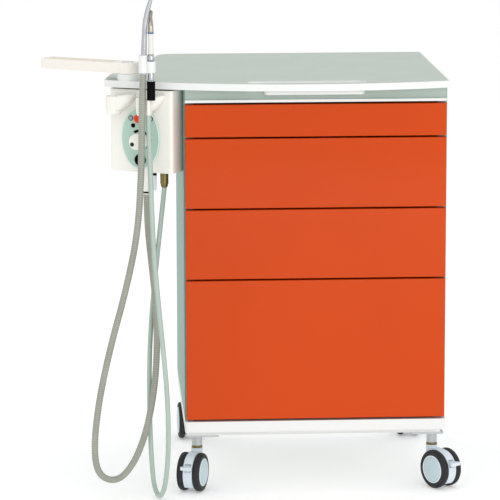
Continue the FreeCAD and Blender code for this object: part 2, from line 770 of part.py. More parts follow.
def pivot_and_holder():
    high = dims.pivot_high
    top = high + dims.tray_high
    base = turned("pivot_turned", [
        (0, 0), (dims.pivot_radius, 0), (dims.pivot_radius, high - 1),
        (dims.pivot_radius - 1, high), (5.93, high), (5.93, top - 1.1), (0, top - 1.1)])
    worktop_top = dims.worktop_under + dims.worktop_thick
    node("arm_pivot_base", moved(base, dims.pivot_x, dims.pivot_y, worktop_top))
    cap = turned("cap_turned", [(0, 0), (12, 0), (12, 1.2), (10.5, 2.2), (0, 2.6)])
    node("tray_boss_cap", moved(cap, dims.pivot_x, dims.pivot_y,
                                dims.tray_bottom + dims.tray_high - 1.2))
    holder_y = dims.holder_y
    low = dims.ring_bottom
    web_y = 46
    middle = (dims.cannula_x + dims.motor_x) / 2
    solid = fuse(
        cylinder(dims.long_ring_radius, dims.long_ring_top - low, dims.cannula_x, holder_y, low),
        cylinder(dims.short_ring_radius, dims.short_ring_top - low, dims.motor_x, holder_y, low),
        box(9, web_y - holder_y, 12, middle - 4.5, holder_y, low + 3),
        cylinder(5.5, low + 15 - worktop_top, middle + 4, web_y, worktop_top),
        box(9, 12, 12, middle - 4.5, web_y - 6, low + 3),
        cylinder(12, 3, middle + 4, web_y, worktop_top))
    lean = Rotation(Vector(0, 1, 0), dims.cannula_lean)
    bores = fuse(cylinder(5.65, 50, dims.cannula_x, holder_y, low - 3, lean),
                 cylinder(5.3, 50, dims.motor_x, holder_y, low - 2))
    node("instrument_holder", cut(solid, bores))


def cannula():
    """A chrome tube in a leaning handle, with a tapering bent tip that turns in it."""
    axis = Rotation(Vector(0, 1, 0), dims.cannula_lean)
    foot = Placement(Vector(dims.cannula_x, dims.holder_y, dims.ring_bottom), axis)
    socket = 12
    collar_face = -CANNULA_COLLAR
    handle = turned("handle_turned", [
        (0, collar_face), (6.2, collar_face), (6.2, -0.5), (5.5, -0.5), (5.5, 44),
        (3.25, 44), (3.25, 44 - socket), (0, 44 - socket)])
    node("cannula_handle", handle, foot)
    stem = turned("tip_turned", [
        (0, 0.5 - socket), (3.2, 0.5 - socket), (3.2, 0), (5.5, 0), (4.9, 26), (4.8, 35),
        (0, 35)])
    whole = fuse(stem, bent_tube("bent_tip", BENT_TIP, TIP_HEADING))
    node("cannula_tip", moved(whole, 0, 0, 44.4), foot)


# How far the handle's collar stands below the ring, to the hose's first end.
CANNULA_COLLAR = 2.3

# Height, sideways offset, lean in degrees and radius along each bent tube, and the
# heading of its bend: the tip to the front right, the contra-angle's neck to the rear.
BENT_TIP = (
    (34, 0, 0, 4.86), (48, 0.9, 8, 4.8), (62, 3.3, 13, 4.7), (76, 6.9, 16.5, 4.4),
    (94, 12.5, 19, 3.75), (112, 19.1, 21, 2.8))
TIP_HEADING = -40
BENT_NECK = (
    (8.5, 0, 0, 5.4), (14, 1.0, 18, 5.1), (21, 3.8, 26, 4.3), (28, 7.4, 28, 3.7),
    (33.8, 10.5, 28, 3.6))
NECK_HEADING = 90


def bent_tube(label, stations, heading):
    """A tapering tube lofted through round sections, bending towards one heading."""
    turn = math.radians(heading)
    sections = []
    for height, offset, lean, radius in stations:
        slope = math.radians(lean)
        centre = Vector(offset * math.cos(turn), offset * math.sin(turn), height)
        normal = Vector(math.sin(slope) * math.cos(turn), math.sin(slope) * math.sin(turn),
                        math.cos(slope))
        sections.append(Part.Wire([Part.Circle(centre, normal, radius).toShape()]))
    item = doc.addObject("Part::Feature", label)
    item.Shape = Part.makeLoft(sections, True, False)
    return item


def micromotor():
    """The motor in its black shell, with the nose that the contra-angle turns on."""
    motor = turned("motor_turned", [
        (0, -52), (7.9, -52), (8, -14.4), (6.6, -14), (6, -13.6), (6, -0.2), (5.2, -0.2),
        (5.2, 22), (6.3, 22.2), (5.8, 34.6), (NOSE, 34.6), (NOSE, 55), (0, 55)])
    node("micromotor", motor, motor_frame(0))
    sleeve = turned("sleeve_turned", [(0, 0), (3.6, 0), (3.4, -29), (0, -29)])
    node("motor_cable_sleeve", moved(sleeve, -5, 0, 0), motor_frame(-52))


# The radius of the motor's nose.
NOSE = 3.2


def motor_frame(height):
    """The motor's axis, at a height above the foot of its ring."""
    return Placement(Vector(dims.motor_x, dims.holder_y, dims.ring_bottom + height), ALONG_Z)


def contra_angle():
    """The grip, its colour ring, and the bent neck with a head and a push cap."""
    grip = turned("grip_turned", [
        (NOSE + 0.05, 0), (5.7, 0), (5.4, 8), (4.7, 20), (5.1, 34), (5.6, 38.6), (0, 38.6),
        (0, 20.6), (NOSE + 0.05, 20.6)])
    node("contra_angle_grip", grip, motor_frame(35))
    ring = turned("colour_ring_turned", [(0, 0), (6, 0), (6, 3), (0, 3)])
    node("colour_ring", ring, motor_frame(73.6))
    _, offset, lean, _ = BENT_NECK[-1]
    head = Placement(Vector(0, offset, BENT_NECK[-1][0]), Rotation(Vector(1, 0, 0), 90 - lean))
    base = turned("neck_turned", [(0, 0), (5.7, 0), (5.5, 9), (0, 9)])
    barrel = in_frame(cylinder(4.6, 13, 0, 0, -6.5), head)
    bur_socket = in_frame(cylinder(1.2, 6, 0, 0, 1.5), head)
    stem_hole = in_frame(cylinder(1.35, 4, 0, 0, -7.5), head)
    neck = fuse(base, bent_tube("bent_neck", BENT_NECK, NECK_HEADING), barrel)
    node("contra_angle_head", cut(neck, fuse(bur_socket, stem_hole)), motor_frame(76.6))
    cap = fuse(cylinder(3.9, 1.8, 0, 0, -9.2), cylinder(1.3, 4, 0, 0, -8.6))
    node("chuck_button", in_frame(cap, head), motor_frame(76.6))


def in_frame(item, frame):
    """Stand a drawn item in a frame of its own."""
    item.Placement = frame * item.Placement
    return item


# Hose routes, by hand, as corners of the run of each hose from its instrument
# down through its loop and up to the motor unit.
CANNULA_HOSE_ROUTE = (
    (-78.288, -22, 826.002), (-80.8, -22, 764), (-83, -22, 640), (-91, -22, 521),
    (-115, -21, 410), (-143, -20, 310), (-164, -19, 218), (-174.5, -18, 148),
    (-177.5, -18, 102), (-174.5, -16.5, 66), (-162, -10.5, 43.5), (-140, 1, 34.5),
    (-118.5, 12, 43), (-94.5, 15, 79), (-73, 17, 141), (-57, 18, 235), (-54, 21, 350),
    (-64.5, 29, 458), (-71.5, 42, 528), (-71.96, 47.02, 586.3))
MOTOR_HOSE_ROUTE = (
    (-68.5, -22, 747.3), (-68.5, -22.5, 712), (-66.5, -24, 655), (-64.5, -26, 587),
    (-62, -29, 503), (-55.5, -33, 415), (-47.5, -37, 328), (-38.5, -41, 229),
    (-35.5, -44, 144), (-37.5, -45.5, 80), (-43, -43, 34), (-49, -30, 12.5),
    (-55, -10, 5.4), (-60.5, 11, 12), (-64.5, 23, 31), (-67.5, 28, 75), (-70, 31, 150),
    (-70.5, 34, 245), (-66, 37, 340), (-56, 41, 440), (-44, 46, 545),
    (-38.04, 46.97, 599.3))


def hose_wire(points, name):
    """Straight runs joined by the largest tangent arcs that the runs allow."""
    corners = [Vector(*point) for point in points]
    edges = []
    radii = []
    start = corners[0]
    for before, corner, after in zip(corners, corners[1:], corners[2:]):
        arriving, leaving = corner - before, after - corner
        reach = 0.45 * min(arriving.Length, leaving.Length)
        half_turn = arriving.getAngle(leaving) / 2
        radii.append(reach / math.tan(half_turn))
        enter = corner - arriving.normalize() * reach
        leave = corner + leaving.normalize() * reach
        toward = ((enter + leave) * 0.5 - corner).normalize()
        middle = corner + toward * (radii[-1] / math.cos(half_turn) - radii[-1])
        edges.append(Part.LineSegment(start, enter).toShape())
        edges.append(Part.Arc(enter, middle, leave).toShape())
        start = leave
    edges.append(Part.LineSegment(start, corners[-1]).toShape())
    print(name, "smallest bend radius", round(min(radii), 1), "radii",
          [round(radius) for radius in radii])
    return Part.Wire(edges)


def hose(label, points, diameter):
    wire = hose_wire(points, label)
    radius = float(diameter) / 2
    direction = Vector(*points[1]) - Vector(*points[0])
    circle = Part.Circle(Vector(*points[0]), direction, radius)
    item = doc.addObject("Part::Feature", label)
    item.Shape = wire.makePipeShell([Part.Wire([circle.toShape()])], True, False)
    expected = math.pi * radius ** 2 * wire.Length
    print(label, "length", round(wire.Length), "volume ratio",
          round(item.Shape.Volume / expected, 4))
    if abs(item.Shape.Volume / expected - 1) > 0.01:
        raise RuntimeError(label + ": the tube's volume isn't its section times its length")
    node(label, item)


def build():
    carcass()
    base_plinth()
    worktop()
    drawers()
    casters()
    unit_housing()
    unit_screws()
    unit_front()
    cradles()
    unit_underside()
    unit_insides()
    pivot_and_holder()
    swing_tray()
    cannula()
    micromotor()
    contra_angle()
    hose("corrugated_hose", CANNULA_HOSE_ROUTE, dims.cannula_hose)
    hose("motor_hose", MOTOR_HOSE_ROUTE, dims.motor_hose)


def footprint_centre():
    """The middle of the footprint of everything but the hoses."""
    bounds = FreeCAD.BoundBox()
    for label, item in nodes.items():
        if not label.endswith("_hose"):
            bounds.add(item.Shape.BoundBox)
    print("bounds", [round(number, 2) for number in (
        bounds.XMin, bounds.XMax, bounds.YMin, bounds.YMax, bounds.ZMin, bounds.ZMax)])
    return Vector(bounds.Center.x, bounds.Center.y, 0)


def check_document():
    doc.recompute()
    for item in doc.Objects:
        if "Invalid" in item.State or "Error" in item.State:
            raise RuntimeError(f"{item.Name} ({item.Label}) failed: {item.State}")
    for label, item in nodes.items():
        if item.Shape.isNull() or not item.Shape.isValid() or not item.Shape.Solids:
            raise RuntimeError(f"{label} has no valid solid")


def centre_on_origin():
    shift = footprint_centre()
    print("cabinet frame origin moves by", [round(-number, 3) for number in shift])
    for item in nodes.values():
        item.Placement = Placement(-shift, Rotation()) * item.Placement


build()
check_document()
centre_on_origin()
check_document()
os.makedirs("parts", exist_ok=True)
for label, item in nodes.items():
    item.Shape.exportStep(f"parts/{label}.step")
print(len(nodes), "sub-parts written")
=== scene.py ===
import math

import bmesh
import bpy
from mathutils import Matrix, Vector


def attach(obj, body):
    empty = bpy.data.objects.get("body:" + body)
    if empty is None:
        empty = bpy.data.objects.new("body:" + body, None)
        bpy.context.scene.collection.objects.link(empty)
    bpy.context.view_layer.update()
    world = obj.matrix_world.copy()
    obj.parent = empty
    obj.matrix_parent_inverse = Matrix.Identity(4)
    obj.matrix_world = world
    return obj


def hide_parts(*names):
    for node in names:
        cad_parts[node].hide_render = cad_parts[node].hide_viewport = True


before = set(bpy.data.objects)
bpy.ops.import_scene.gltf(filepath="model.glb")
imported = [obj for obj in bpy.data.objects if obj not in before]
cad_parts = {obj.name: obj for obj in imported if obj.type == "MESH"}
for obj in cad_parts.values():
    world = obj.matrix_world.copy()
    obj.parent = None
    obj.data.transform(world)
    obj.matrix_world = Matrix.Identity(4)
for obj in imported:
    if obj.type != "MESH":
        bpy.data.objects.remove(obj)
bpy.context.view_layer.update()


# Lengths in the drawings below are in millimetres, with X=0, Y=0 at the front left
# corner of the drawer fronts. FOOTPRINT is that corner's place in the row frame.
MM = 0.001
FOOTPRINT = Vector((-132.777, -247.815, 0))
CABINET = Matrix.Scale(MM, 4) @ Matrix.Translation(FOOTPRINT)
# The motor unit's frame: the middle of its front face, at the unit's turn.
UNIT_PLACE = (-82.5, 30, 0)
UNIT_TURN = -27.1
UNIT = (CABINET @ Matrix.Translation(UNIT_PLACE)
        @ Matrix.Rotation(math.radians(UNIT_TURN), 4, "Z"))
# Turns a lathe's axis to point out of the unit's face.
FACING = Matrix.Rotation(math.radians(90), 4, "X")
MERGE_DISTANCE = 1e-4


# Materials --------------------------------------------------------------------

def srgb(code):
    """A six-digit colour code as linear red, green, blue and alpha."""
    channels = [int(code[start:start + 2], 16) / 255 for start in (0, 2, 4)]
    return [c / 12.92 if c <= 0.04045 else ((c + 0.055) / 1.055) ** 2.4 for c in channels] + [1]


def scaled(colour, factor):
    """A colour made darker or lighter."""
    return [channel * factor for channel in colour[:3]] + [1]


COAT_ROUGHNESS = 0.08
# Where the two colours of a mottled surface begin, along the noise.
DARK_END, LIGHT_END = 0.3, 0.7


class Material:
    """A Principled material with helpers that add procedural detail to it."""

    def __init__(self, name, code, roughness, metallic=0.0, coat=0.0):
        self.data = bpy.data.materials.new(name)
        self.data.use_nodes = True
        self.tree = self.data.node_tree
        self.shader = self.tree.nodes["Principled BSDF"]
        self.colour = srgb(code)
        self.set("Base Color", self.colour)
        self.set("Roughness", roughness)
        self.set("Metallic", metallic)
        self.set("Coat Weight", coat)
        self.set("Coat Roughness", COAT_ROUGHNESS)

    def set(self, socket, value):
        self.shader.inputs[socket].default_value = value

    def add(self, kind, **inputs):
        item = self.tree.nodes.new(kind)
        for socket, value in inputs.items():
            item.inputs[socket.replace("_", " ")].default_value = value
        return item

    def link(self, source, output, target, socket):
        self.tree.links.new(source.outputs[output], target.inputs[socket])

    def noise(self, scale, detail, stretch):
        """Noise in object space, in features per metre."""
        place = self.add("ShaderNodeTexCoord")
        mapping = self.add("ShaderNodeMapping", Scale=stretch)
        noise = self.add("ShaderNodeTexNoise", Scale=scale, Detail=detail)
        self.link(place, "Object", mapping, "Vector")
        self.link(mapping, "Vector", noise, "Vector")
        return noise

    def mottle(self, scale, darker, lighter, stretch=(1, 1, 1)):
        """Vary the base colour between two factors of itself."""
        noise = self.noise(scale, 4.0, stretch)
        ramp = self.add("ShaderNodeValToRGB")
        stops = ((DARK_END, darker), (LIGHT_END, lighter))
        for stop, (position, factor) in zip(ramp.color_ramp.elements, stops):
            stop.position = position
            stop.color = scaled(self.colour, factor)
        self.link(noise, "Fac", ramp, "Fac")
        self.link(ramp, "Color", self.shader, "Base Color")

    def wear(self, scale, low, high, stretch=(1, 1, 1)):
        """Vary the roughness between two values."""
        noise = self.noise(scale, 5.0, stretch)
        spread = self.add("ShaderNodeMapRange", To_Min=low, To_Max=high)
        self.link(noise, "Fac", spread, "Value")
        self.link(spread, "Result", self.shader, "Roughness")

    def bump(self, source, strength, distance):
        bump = self.add("ShaderNodeBump", Strength=strength, Distance=distance)
        self.link(source, "Fac", bump, "Height")
        self.link(bump, "Normal", self.shader, "Normal")

    def grain(self, scale, strength, distance=0.0002):
        """A fine even roughness of the surface."""
        self.bump(self.noise(scale, 2.0, (1, 1, 1)), strength, distance)

    def bands(self, scale, strength, distance):
        """Fine level ridges, one above the other."""
        place = self.add("ShaderNodeTexCoord")
        wave = self.add("ShaderNodeTexWave", Scale=scale, Distortion=0)
        wave.bands_direction = "Z"
        self.link(place, "Object", wave, "Vector")
        self.bump(wave, strength, distance)


def lacquer():
    made = Material("orange lacquer", "C54203", 0.3, coat=0.3)
    made.set("Specular IOR Level", 0.05)
    made.mottle(2.2, 0.95, 1.05, (1, 1, 0.6))
    made.grain(420, 0.05)
    return made


def white_laminate():
    made = Material("white laminate", "E3E5E3", 0.42)
    made.mottle(6, 0.98, 1.0)
    made.grain(900, 0.08)
    return made


def side_green():
    made = Material("grey green board", "7EA095", 0.5)
    made.mottle(9, 0.95, 1.04)
    made.grain(700, 0.12)
    return made


# Grey green for the top rail's recessed face, darkened as painted shade from the worktop's
# overhang; part of the tint is the board's own.
def rail_green():
    made = Material("green rail with painted shade", "A3B1A8", 0.5)
    made.mottle(9, 0.97, 1.03)
    made.grain(700, 0.1)
    return made


def worktop_laminate():
    made = Material("worktop laminate", "B2BEB3", 0.4)
    made.mottle(260, 0.97, 1.03)
    made.wear(14, 0.34, 0.5)
    return made


def unit_plastic():
    made = Material("warm white plastic", "ECEBE4", 0.38)
    made.mottle(12, 0.985, 1.0)
    made.grain(1500, 0.1)
    return made


def tray_plastic():
    made = Material("ivory plastic", "EDE8E0", 0.4)
    made.mottle(14, 0.97, 1.0)
    made.grain(1500, 0.1)
    return made


def mint_plastic():
    made = Material("mint plastic", "ACC9BB", 0.35)
    made.mottle(30, 0.97, 1.02)
    made.grain(1800, 0.08)
    return made


def pale_rim():
    made = Material("pale mint rim", "DDEBE4", 0.3)
    made.mottle(90, 0.97, 1.0)
    made.grain(1200, 0.06)
    return made


def orange_button():
    made = Material("orange button", "DE3D0C", 0.28, coat=0.2)
    made.set("Specular IOR Level", 0.2)
    made.mottle(200, 0.95, 1.05)
    made.grain(1200, 0.06)
    return made


def black_plastic():
    made = Material("black plastic", "050506", 0.42)
    made.set("Specular IOR Level", 0.06)
    made.mottle(120, 0.7, 1.5)
    made.grain(1600, 0.15)
    return made


def dark_green():
    made = Material("dark green dot", "05301A", 0.3)
    made.set("Specular IOR Level", 0.2)
    made.mottle(300, 0.8, 1.2)
    made.grain(1200, 0.05)
    return made


def chrome():
    made = Material("chrome", "BDC0C6", 0.12, metallic=1.0)
    made.wear(60, 0.08, 0.2, (1, 1, 0.2))
    return made


def warm_steel():
    made = Material("warm polished steel", "B5ADA3", 0.18, metallic=1.0)
    made.wear(90, 0.14, 0.28)
    return made


def zinc():
    made = Material("zinc plated steel", "B9BDBE", 0.35, metallic=0.9)
    made.wear(40, 0.28, 0.5)
    return made


def drawer_paint():
    made = Material("grey drawer paint", "C3C6C6", 0.45)
    made.mottle(12, 0.97, 1.02)
    made.grain(900, 0.15)
    return made


def caster_plastic():
    made = Material("pale blue grey plastic", "D8E2EA", 0.36)
    made.mottle(40, 0.96, 1.0)
    made.grain(1400, 0.12)
    return made


def cap_plastic():
    made = Material("hub cap plastic", "BCCFD6", 0.34)
    made.mottle(70, 0.97, 1.03)
    made.grain(1400, 0.1)
    return made


def rim_plastic():
    made = Material("hub cap rim", "E2EDF2", 0.3)
    made.mottle(90, 0.97, 1.0)
    made.grain(1400, 0.08)
    return made


def tyre_rubber():
    made = Material("tyre rubber", "222224", 0.6)
    made.set("Specular IOR Level", 0.35)
    made.mottle(80, 0.8, 1.2)
    made.grain(900, 0.25, 0.0004)
    return made


def brass():
    made = Material("aged brass", "85794A", 0.32, metallic=1.0)
    made.wear(120, 0.25, 0.45)
    return made


def hose_beige():
    made = Material("grey beige hose", "92958A", 0.5)
    made.mottle(18, 0.9, 1.06)
    made.grain(1100, 0.15)
    return made


def hose_ridge():
    made = Material("hose spiral", "B1B3A5", 0.46)
    made.mottle(18, 0.92, 1.05)
    return made


def hose_mint():
    made = Material("pale mint hose", "A9BBB1", 0.42)
    made.mottle(15, 0.94, 1.04)
    made.grain(900, 0.08)
    return made


def blue_ring():
    made = Material("blue ring", "1F5D93", 0.25, coat=0.5)
    made.mottle(300, 0.9, 1.05)
    made.grain(1000, 0.04)
    return made


def lens_plastic():
    made = Material("grey lilac lens", "B9BCCB", 0.12, coat=0.8)
    made.mottle(400, 0.92, 1.04)
    made.set("Transmission Weight", 0.35)
    made.grain(500, 0.04)
    return made


def white_grip():
    made = Material("white grip", "DDDDD6", 0.34)
    made.bands(160, 0.25, 0.0003)
    return made


def board_green():
    made = Material("circuit board", "0E5B34", 0.4)
    made.mottle(300, 0.7, 1.2)
    return made


def iron():
    made = Material("transformer iron", "4A4A4C", 0.5, metallic=0.7)
    made.bands(220, 0.4, 0.0004)
    return made


def floor_paint():
    made = Material("pale floor", "FAFAFA", 0.8)
    made.set("Specular IOR Level", 0.1)
    made.set("Emission Color", (1, 1, 1, 1))
    made.set("Emission Strength", 0.2)
    made.mottle(1.5, 0.995, 1.0)
    return made


MAKERS = (
    lacquer, white_laminate, side_green, rail_green, worktop_laminate, unit_plastic, tray_plastic,
    mint_plastic, pale_rim, orange_button, black_plastic, dark_green, chrome, warm_steel,
    zinc, drawer_paint, caster_plastic, cap_plastic, rim_plastic, tyre_rubber, brass,
    hose_beige, hose_ridge, hose_mint, blue_ring, lens_plastic, white_grip, board_green,
    iron, floor_paint)
MATERIALS = {maker.__name__: maker().data for maker in MAKERS}


# Mesh helpers -----------------------------------------------------------------

def put_in_scene(name, data):
    """An object for a mesh, curve, light or camera, in the scene."""
    item = bpy.data.objects.new(name, data)
    bpy.context.scene.collection.objects.link(item)
    return item


def finish_mesh(name, built, material, placing):
    """Turn a built mesh into an object that stands in the row frame."""
    bmesh.ops.recalc_face_normals(built, faces=built.faces)
    built.transform(placing)
    mesh = bpy.data.meshes.new(name)
    built.to_mesh(mesh)
    built.free()
    mesh.materials.append(MATERIALS[material])
    mesh.shade_smooth()
    return put_in_scene(name, mesh)


def skin(built, rings):
    """Faces between each pair of neighbouring closed rings of vertices."""
    for low, high in rings:
        count = len(low)
        for index in range(count):
            after = (index + 1) % count
            built.faces.new((low[index], low[after], high[after], high[index]))


def soften(item, width):
    """Round the sharp edges of a piece."""
    soft = item.modifiers.new("soft edges", "BEVEL")
    soft.width = width * MM
    soft.segments = 3
    soft.limit_method = "ANGLE"
    soft.angle_limit = math.radians(35)
    soft.use_clamp_overlap = True
    soft.harden_normals = True


def lathe(name, profile, material, placing, steps=64, closed=False, wobble=None):
    """A turned piece from radius and height pairs; wobble scales the radius by angle."""
    built = bmesh.new()
    rings = []
    for radius, height in profile:
        ring = []
        for step in range(steps):
            angle = 2 * math.pi * step / steps
            reach = radius * (wobble(angle, height) if wobble else 1)
            x, y = reach * math.cos(angle), reach * math.sin(angle)
            ring.append(built.verts.new((x, y, height)))
        rings.append(ring)
    pairs = list(zip(rings, rings[1:]))
    if closed:
        pairs.append((rings[-1], rings[0]))
    skin(built, pairs)
    bmesh.ops.remove_doubles(built, verts=built.verts, dist=MERGE_DISTANCE)
    return finish_mesh(name, built, material, placing)


def loft(name, sections, material, placing, capped=True):
    """A skin over sections of equally many points."""
    built = bmesh.new()
    rings = [[built.verts.new(point) for point in section] for section in sections]
    skin(built, zip(rings, rings[1:]))
    if capped:
        built.faces.new(rings[0])
        built.faces.new(rings[-1])
    bmesh.ops.remove_doubles(built, verts=built.verts, dist=MERGE_DISTANCE)
    return finish_mesh(name, built, material, placing)


def ellipse_tube(name, wide, high, radius, y, z, material):
    """A round bead that follows an upright ellipse."""
    built = bmesh.new()
    around, across = 96, 12
    rings = []
    for step in range(around):
        angle = 2 * math.pi * step / around
        ring = []
        for part in range(across):
            turn = 2 * math.pi * part / across
            reach = radius * math.cos(turn)
            x = (wide + reach) * math.cos(angle)
            up = (high + reach) * math.sin(angle)
            ring.append(built.verts.new((x, y - radius * math.sin(turn), z + up)))
        rings.append(ring)
    skin(built, zip(rings, rings[1:] + rings[:1]))
    return finish_mesh(name, built, material, UNIT)


def dress_piece(piece, body, slot, *nodes):
    """Let a piece ride on a body and hide the nodes it stands for; the slot argument is not used.
    """
    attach(piece, body)
    if nodes:
        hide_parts(*nodes)


# CAD nodes that are shown as they are -----------------------------------------

NODE_MATERIALS = {
    "side_panel_left": "side_green", "side_panel_right": "side_green",
    "back_panel": "side_green", "top_rail": "white_laminate", "base_plinth": "white_laminate",
    "worktop_board": "worktop_laminate", "worktop_edge_band": "white_laminate",
    "drawer_rails": "zinc", "caster_mounts": "zinc", "unit_housing": "unit_plastic",
    "unit_back_cover": "unit_plastic", "unit_mount_screws": "zinc",
    "control_panel": "mint_plastic", "arm_pivot_base": "white_laminate",
    "instrument_holder": "white_laminate", "air_fitting": "brass",
    "hose_strain_relief": "unit_plastic", "spare_port_plug": "caster_plastic",
    "motor_jack": "black_plastic", "indicator_lenses": "lens_plastic",
    "motor_control_board": "board_green", "power_transformer": "iron",
    "air_valve_block": "zinc", "cannula_handle": "chrome", "cannula_tip": "chrome",
    "micromotor": "black_plastic", "motor_cable_sleeve": "unit_plastic",
    "contra_angle_grip": "white_grip", "colour_ring": "blue_ring",
    "contra_angle_head": "warm_steel", "chuck_button": "chrome",
    "swing_tray": "tray_plastic", "tray_boss_cap": "chrome", "speed_knob": "unit_plastic",
    "knob_pointer": "dark_green", "start_button": "orange_button",
    "mode_button": "black_plastic"}
# The white lip of the top rail ends at this height.
LIP_TOP = 772.2
# Widths of the rounding on the edges of CAD nodes.
SOFT_EDGES = {
    "side_panel_left": 0.8, "side_panel_right": 0.8, "back_panel": 0.8, "top_rail": 0.8,
    "base_plinth": 1.2, "worktop_edge_band": 0.6, "unit_housing": 1.2, "unit_back_cover": 0.8,
    "instrument_holder": 0.8, "swing_tray": 1.2, "caster_mounts": 0.5, "arm_pivot_base": 0.5,
    "control_panel": 0.3}


def paint_rail_shade(mesh):
    """The rail's recessed face takes a darker grey green, part board colour and part painted
    shade from the worktop above; only its lip is white.
    """
    mesh.materials.append(MATERIALS["rail_green"])
    for face in mesh.polygons:
        # Faces above the lip take the grey green that carries painted shade.
        if face.center.z > LIP_TOP * MM:
            face.material_index = 1


def dress_cad():
    """Give every CAD node its material, and soft edges where they show."""
    for number in range(1, 5):
        NODE_MATERIALS[f"drawer_front_{number}"] = "lacquer"
        SOFT_EDGES[f"drawer_front_{number}"] = 1.4
        NODE_MATERIALS[f"drawer_box_{number}"] = "drawer_paint"
    for name in CASTERS:
        NODE_MATERIALS[f"caster_housing_{name}"] = "caster_plastic"
        SOFT_EDGES[f"caster_housing_{name}"] = 0.9
    for name in ("front_left", "front_right"):
        NODE_MATERIALS[f"caster_brake_{name}"] = "caster_plastic"
        SOFT_EDGES[f"caster_brake_{name}"] = 0.9
    for name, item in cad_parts.items():
        item.data.materials.clear()
        item.data.materials.append(MATERIALS[NODE_MATERIALS.get(name, "unit_plastic")])
    for name, width in SOFT_EDGES.items():
        soften(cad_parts[name], width)
    paint_rail_shade(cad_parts["top_rail"].data)


# Casters ----------------------------------------------------------------------

# Each caster's stem, and the turn of its housing in degrees.
CASTERS = {
    "front_left": (23, 79, -20), "front_right": (484, 76, 34),
    "rear_left": (23, 472, 183), "rear_right": (481, 472, 176)}
TRAIL = 28
WHEEL_RADIUS = 37.5
WHEEL_SIDES = {"outer": 1, "inner": -1}
# Radius and distance from the caster's middle plane, around each turned piece.
TYRE = (
    (26.4, 9.8), (33.6, 9.6), (36.2, 10.5), (37.3, 12.2), (37.5, 14.5), (37.5, 18),
    (37.0, 20.2), (35.6, 21.8), (33.2, 22.5), (28.6, 22.5), (27.2, 22.1), (26.4, 20.5))
RIM = ((27.3, 21.6), (27.1, 22.9), (26.2, 23.4), (25.1, 23.3), (24.6, 22.4), (24.8, 21.0))
CAP = (
    (0, 24.9), (9, 24.8), (17, 24.3), (22, 23.5), (24.7, 22.5), (24.9, 18), (0, 18))
WEB = ((4.4, 9.7), (26.5, 9.7), (26.5, 18), (4.4, 18))
RACE = ((7, 80.3), (10.6, 80.3), (10.9, 81.2), (10.9, 82.4), (10.2, 84.6), (7, 84.6))


def caster_frame(name):
    """A caster's frame: its stem's foot on the floor, turned with its housing."""
    x, y, swing = CASTERS[name]
    return (CABINET @ Matrix.Translation((x, y, 0))
            @ Matrix.Rotation(math.radians(swing), 4, "Z"))


def dress_wheels(name):
    """A rounded tyre, a web, a rim bead and a domed cap for each of the two wheels."""
    axle = caster_frame(name) @ Matrix.Translation((0, -TRAIL, WHEEL_RADIUS))
    for side, sign in WHEEL_SIDES.items():
        placing = axle @ Matrix.Rotation(math.radians(90 * sign), 4, "Y")
        tyre = lathe(f"tyre_{name}_{side}", TYRE, "tyre_rubber", placing, 96, closed=True)
        web = lathe(f"web_{name}_{side}", WEB, "caster_plastic", placing, 64, closed=True)
        rim = lathe(f"rim_{name}_{side}", RIM, "rim_plastic", placing, 96, closed=True)
        cap = lathe(f"cap_{name}_{side}", CAP, "cap_plastic", placing, 96)
        for piece in (tyre, web, rim, cap):
            slot = "tyre_black" if piece is tyre else "caster_grey"
            dress_piece(piece, f"wheels_{name}", slot, f"caster_wheels_{name}")


def dress_stem_ring(name):
    """The brassy race between the sleeve and the swivelling collar."""
    x, y, _ = CASTERS[name]
    placing = CABINET @ Matrix.Translation((x, y, 0))
    ring = lathe(f"swivel_race_{name}", RACE, "brass", placing, closed=True)
    dress_piece(ring, "cart", "nickel_brass")


# Motor unit -------------------------------------------------------------------

# How far a cup's axis stands in front of the unit's face.
CUP_OUT = 20
CUP_PROFILE = (
    (12.3, 744.3), (13.2, 744.1), (14.0, 745.4), (14.9, 749), (15.5, 754), (15.6, 762),
    (15.6, 772), (15.5, 776), (15.0, 778.4), (14.0, 779.0), (13.0, 778.6), (12.3, 777))
CUP_FOOT, CUP_LIP = 745, 779
FLUTES = 11
FLUTE_DEPTH = 0.07
BORE_RADIUS = 12.9
BORE_LOW, BORE_HIGH = 730, 800
ARM_STATIONS = (
    # distance from the cup, nearest and deepest y, lowest and highest z
    (6, -33, -9, 749, 779), (13, -32, -6, 750, 780), (20, -29, -2.5, 754.5, 781.4),
    (26, -25, -0.4, 761, 782), (31, -20, -0.4, 767.5, 782), (35, -14, -0.4, 773, 782),
    (37, -8, -0.4, 776.5, 781.5))
ARM_REACH = 37


def fluted(angle, height):
    """Soft vertical flutes around a cup, fading out at its lip and foot."""
    fade = min(1, max(0, (height - CUP_FOOT) / 6), max(0, (CUP_LIP - height) / 5))
    return 1 - FLUTE_DEPTH * fade * (0.5 + 0.5 * math.cos(FLUTES * angle)) ** 3


def rounded_section(x, near, deep, low, high):
    """A soft-cornered upright section at one place along the unit's face."""
    count = 28
    squareness = 3.4
    points = []
    for index in range(count):
        angle = 2 * math.pi * index / count
        across, up = math.cos(angle), math.sin(angle)
        y = math.copysign(abs(across) ** (2 / squareness), across)
        z = math.copysign(abs(up) ** (2 / squareness), up)
        points.append((x, (near + deep) / 2 + y * (deep - near) / 2,
                       (low + high) / 2 + z * (high - low) / 2))
    return points


def dress_cradle(name, cup_x, reach):
    """A fluted cup and the wing that carries it, in place of the plain cradle."""
    placing = UNIT @ Matrix.Translation((cup_x, -CUP_OUT, 0))
    cup = lathe(f"{name}_cup", CUP_PROFILE, "unit_plastic", placing, 12 * FLUTES, closed=True,
                wobble=fluted)
    sections = [
        rounded_section(cup_x + distance * reach / ARM_REACH, near, deep, low, high)
        for distance, near, deep, low, high in ARM_STATIONS]
    wing = loft(f"{name}_wing", sections, "unit_plastic", UNIT)
    bored = wing.modifiers.new("bore", "BOOLEAN")
    bored.object = bore_cutter(name, placing)
    bored.solver = "EXACT"
    for piece in (cup, wing):
        dress_piece(piece, "cart", "white_plastic", name)


